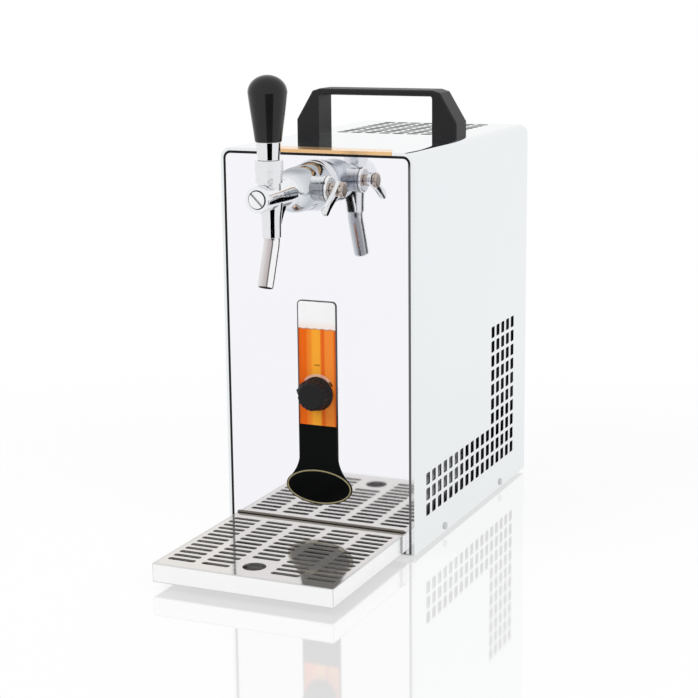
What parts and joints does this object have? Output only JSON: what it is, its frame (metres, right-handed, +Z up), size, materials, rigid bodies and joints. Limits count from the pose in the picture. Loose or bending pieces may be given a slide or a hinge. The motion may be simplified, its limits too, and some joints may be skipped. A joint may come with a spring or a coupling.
{
  "type": "over-counter beer cooler with tap",
  "caption": "Narrow bench-top beer cooler: vented steel cabinet with carrying handle, long-reach compensator tap, temperature dial and pull-out drip tray.",
  "frame": {"origin": "on the floor plane under the middle of the whole, with the tray drawn out as pictured", "axes": "+Z up, +Y from the tap towards the rear, +X to the right seen from the front"},
  "size_m": [0.1748, 0.4464, 0.4004],
  "materials": {
    "casing_steel": "polished stainless sheet",
    "panel_mirror": "mirror-polished stainless sheet",
    "pan_zinc": "zinc-plated sheet",
    "seal_rubber": "matte black rubber",
    "screw_steel": "bright steel",
    "handle_black": "satin black moulding",
    "strip_orange": "glossy orange film",
    "label_print": "printed plate, black with an amber field",
    "thermostat_grey": "plated case",
    "tray_steel": "stainless sheet",
    "tap_chrome": "bright chrome plate",
    "inner_steel": "stainless tube",
    "brass": "plain brass",
    "valve_plastic": "white acetal",
    "foam_grey": "closed-cell foam",
    "block_aluminium": "cast and finned aluminium",
    "compressor_black": "black enamel",
    "motor_steel": "grey paint",
    "copper": "drawn copper tube"
  },
  "bodies": {
    "casing": {"base_pan": "pan_zinc", "beer_inlet": "inner_steel", "beer_pipe": "inner_steel", "carry_handle": "handle_black", "casing_cover": "casing_steel", "chassis_floor": "pan_zinc", "comp_nut": "tap_chrome", "compressor": "compressor_black", "condenser": "block_aluminium", "cooling_block": "block_aluminium", "cord_gland": "handle_black", "discharge_pipe": "copper", "drier": "copper", "fan_motor": "motor_steel", "fan_shroud": "handle_black", "foam_case": "foam_grey", "foot_fl": "seal_rubber", "foot_fr": "seal_rubber", "foot_rl": "seal_rubber", "foot_rr": "seal_rubber", "front_panel": "panel_mirror", "grip_screw_left": "screw_steel", "grip_screw_right": "screw_steel", "grommet_fl": "seal_rubber", "grommet_fr": "seal_rubber", "grommet_rl": "seal_rubber", "grommet_rr": "seal_rubber", "label_plate": "label_print", "liquid_pipe": "copper", "neck_collar": "tap_chrome", "panel_seal": "seal_rubber", "rear_panel": "casing_steel", "ring_nut": "tap_chrome", "shank_nut": "brass", "side_screw_front_left": "screw_steel", "side_screw_front_right": "screw_steel", "side_screw_rear_left": "screw_steel", "side_screw_rear_right": "screw_steel", "spout": "tap_chrome", "suction_pipe": "copper", "tap_body": "tap_chrome", "tap_flange": "tap_chrome", "tap_plug": "tap_chrome", "tap_shank": "inner_steel", "thermostat_body": "thermostat_grey", "top_strip": "strip_orange"},
    "knob": {"thermostat_knob": "handle_black"},
    "tray": {"drip_tray": "tray_steel"},
    "grid": {"drip_grid": "tray_steel"},
    "lever": {"lever_core": "inner_steel", "lever_cap": "tap_chrome", "lever_ferrule": "tap_chrome", "lever_handle": "handle_black"},
    "piston": {"piston": "valve_plastic", "piston_seal": "seal_rubber"},
    "comp_lever": {"comp_stem": "tap_chrome", "comp_arm": "tap_chrome"},
    "cone": {"comp_cone": "valve_plastic"},
    "fan": {"fan_rotor": "handle_black"}
  },
  "joints": [
    {"name": "tap_lever", "type": "hinge", "parent": "casing", "child": "lever", "pos_m": [0, -0.1608, 0.3207], "axis": [1, 0, 0], "range_deg": [0, 30]},
    {"name": "piston_slide", "type": "slide", "parent": "casing", "child": "piston", "axis": [0, 1, 0], "range_m": [0, 0.0075]},
    {"name": "flow_lever", "type": "hinge", "parent": "casing", "child": "comp_lever", "pos_m": [0, -0.1119, 0.3092], "axis": [1, 0, 0], "range_deg": [-90, 90]},
    {"name": "cone_slide", "type": "slide", "parent": "casing", "child": "cone", "axis": [0, 1, 0], "range_m": [-0.0021, 0.0021]},
    {"name": "dial_turn", "type": "hinge", "parent": "casing", "child": "knob", "pos_m": [0, -0.0785, 0.13395], "axis": [0, 1, 0], "range_deg": [0, 270]},
    {"name": "tray_slide", "type": "slide", "parent": "casing", "child": "tray", "axis": [0, -1, 0], "range_m": [-0.14, 0.018]},
    {"name": "grid_lift", "type": "slide", "parent": "tray", "child": "grid", "axis": [0, 0, 1], "range_m": [0, 0.04]},
    {"name": "fan_spin", "type": "hinge", "parent": "casing", "child": "fan", "pos_m": [0, 0.1522, 0.2499], "axis": [0, 1, 0], "continuous": true}
  ],
  "couplings": [
    {"joint": "piston_slide", "follows": "tap_lever", "m_per_rad": 0.0131},
    {"joint": "cone_slide", "follows": "flow_lever", "m_per_rad": -0.00127}
  ]
}
